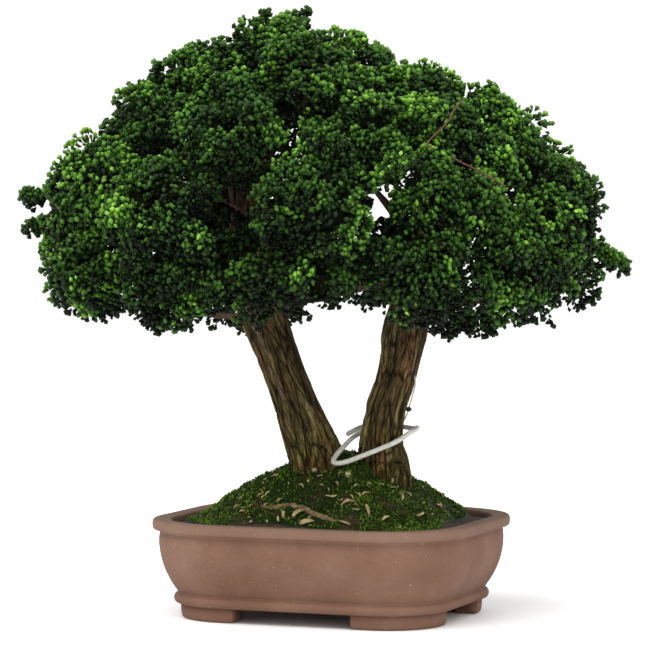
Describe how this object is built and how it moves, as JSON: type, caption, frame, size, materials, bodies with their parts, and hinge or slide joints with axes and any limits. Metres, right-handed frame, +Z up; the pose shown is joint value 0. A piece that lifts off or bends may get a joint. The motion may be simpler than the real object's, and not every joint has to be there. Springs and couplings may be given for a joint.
{
  "type": "hinoki cypress bonsai",
  "caption": "Twin-trunk hinoki cypress bonsai with a dense domed crown, on a mossy mound in an unglazed clay pot with bracket feet.",
  "frame": {"origin": "on the surface that the pot stands on, under the middle of the whole object's box", "axes": "+Z up, X along the pot's long side, -Y towards the front; the tree's best side faces 21 degrees towards +X from -Y"},
  "size_m": [0.5734, 0.5188, 0.6019],
  "materials": {
    "clay": "unglazed matte",
    "screen": "matte",
    "soil": "rough",
    "moss": "matte",
    "bark": "rough",
    "wire": "dull, pale",
    "leaf": "satin"
  },
  "bodies": {
    "root": {"pot": "clay", "drain_screen_left": "screen", "drain_screen_right": "screen", "soil": "soil", "moss": "moss", "wood": "bark", "training_wire": "wire", "foliage_01": "leaf", "foliage_02": "leaf", "foliage_03": "leaf", "foliage_04": "leaf", "foliage_05": "leaf", "foliage_06": "leaf", "foliage_07": "leaf", "foliage_08": "leaf", "foliage_09": "leaf", "foliage_10": "leaf", "foliage_11": "leaf", "foliage_12": "leaf", "foliage_13": "leaf", "foliage_14": "leaf", "foliage_15": "leaf", "foliage_16": "leaf", "foliage_17": "leaf", "foliage_18": "leaf", "foliage_19": "leaf", "foliage_20": "leaf", "foliage_21": "leaf", "foliage_22": "leaf", "foliage_23": "leaf", "foliage_24": "leaf", "foliage_25": "leaf", "foliage_26": "leaf", "foliage_27": "leaf", "foliage_28": "leaf", "foliage_29": "leaf", "foliage_30": "leaf", "foliage_31": "leaf", "foliage_32": "leaf", "foliage_33": "leaf", "foliage_34": "leaf", "foliage_35": "leaf", "foliage_36": "leaf", "foliage_37": "leaf", "foliage_38": "leaf", "foliage_39": "leaf", "foliage_40": "leaf", "foliage_41": "leaf", "foliage_42": "leaf"}
  },
  "joints": []
}
